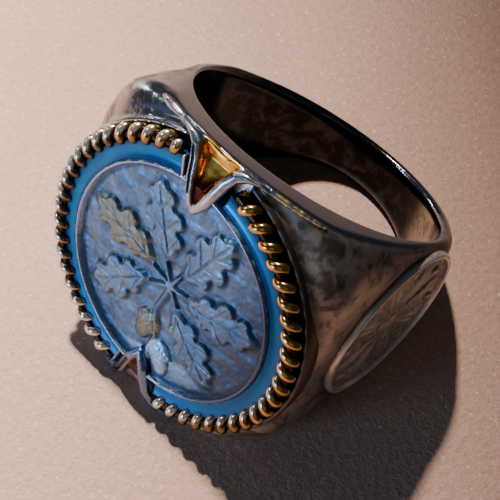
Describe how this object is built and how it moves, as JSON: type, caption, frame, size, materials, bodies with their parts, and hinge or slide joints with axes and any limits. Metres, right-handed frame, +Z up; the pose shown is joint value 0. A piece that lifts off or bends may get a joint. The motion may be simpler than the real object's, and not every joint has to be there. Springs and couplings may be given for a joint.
{
  "type": "signet ring",
  "caption": "Heavy silver signet ring lying on its side, with a tapered band, broad shoulders, a round medallion in blue enamel and twisted gilt border, split claws and round side medallions.",
  "frame": {"origin": "On the surface that the ring lies on, at the middle of its bounding box.", "axes": "+Z is up, out of the surface. The face looks towards -Y and about 22 degrees upwards, and the band's back is at +Y. X runs across the finger."},
  "size_m": [0.0228, 0.028, 0.0219],
  "materials": {
    "silver": "polished silver, worn, with dark tarnish in the hollows",
    "patinated_silver": "struck silver with a blue-grey patina and two tan accents",
    "enamel": "glossy opaque blue enamel",
    "gilt": "polished gold plating with dark gaps",
    "oxidised_silver": "cast silver with dark recesses and a bright raised edge"
  },
  "bodies": {
    "root": {"shank": "silver", "face_medallion": "patinated_silver", "enamel_right": "enamel", "enamel_left": "enamel", "rope_right": "gilt", "rope_left": "gilt", "side_medallion_right": "oxidised_silver", "side_medallion_left": "oxidised_silver"}
  },
  "joints": []
}
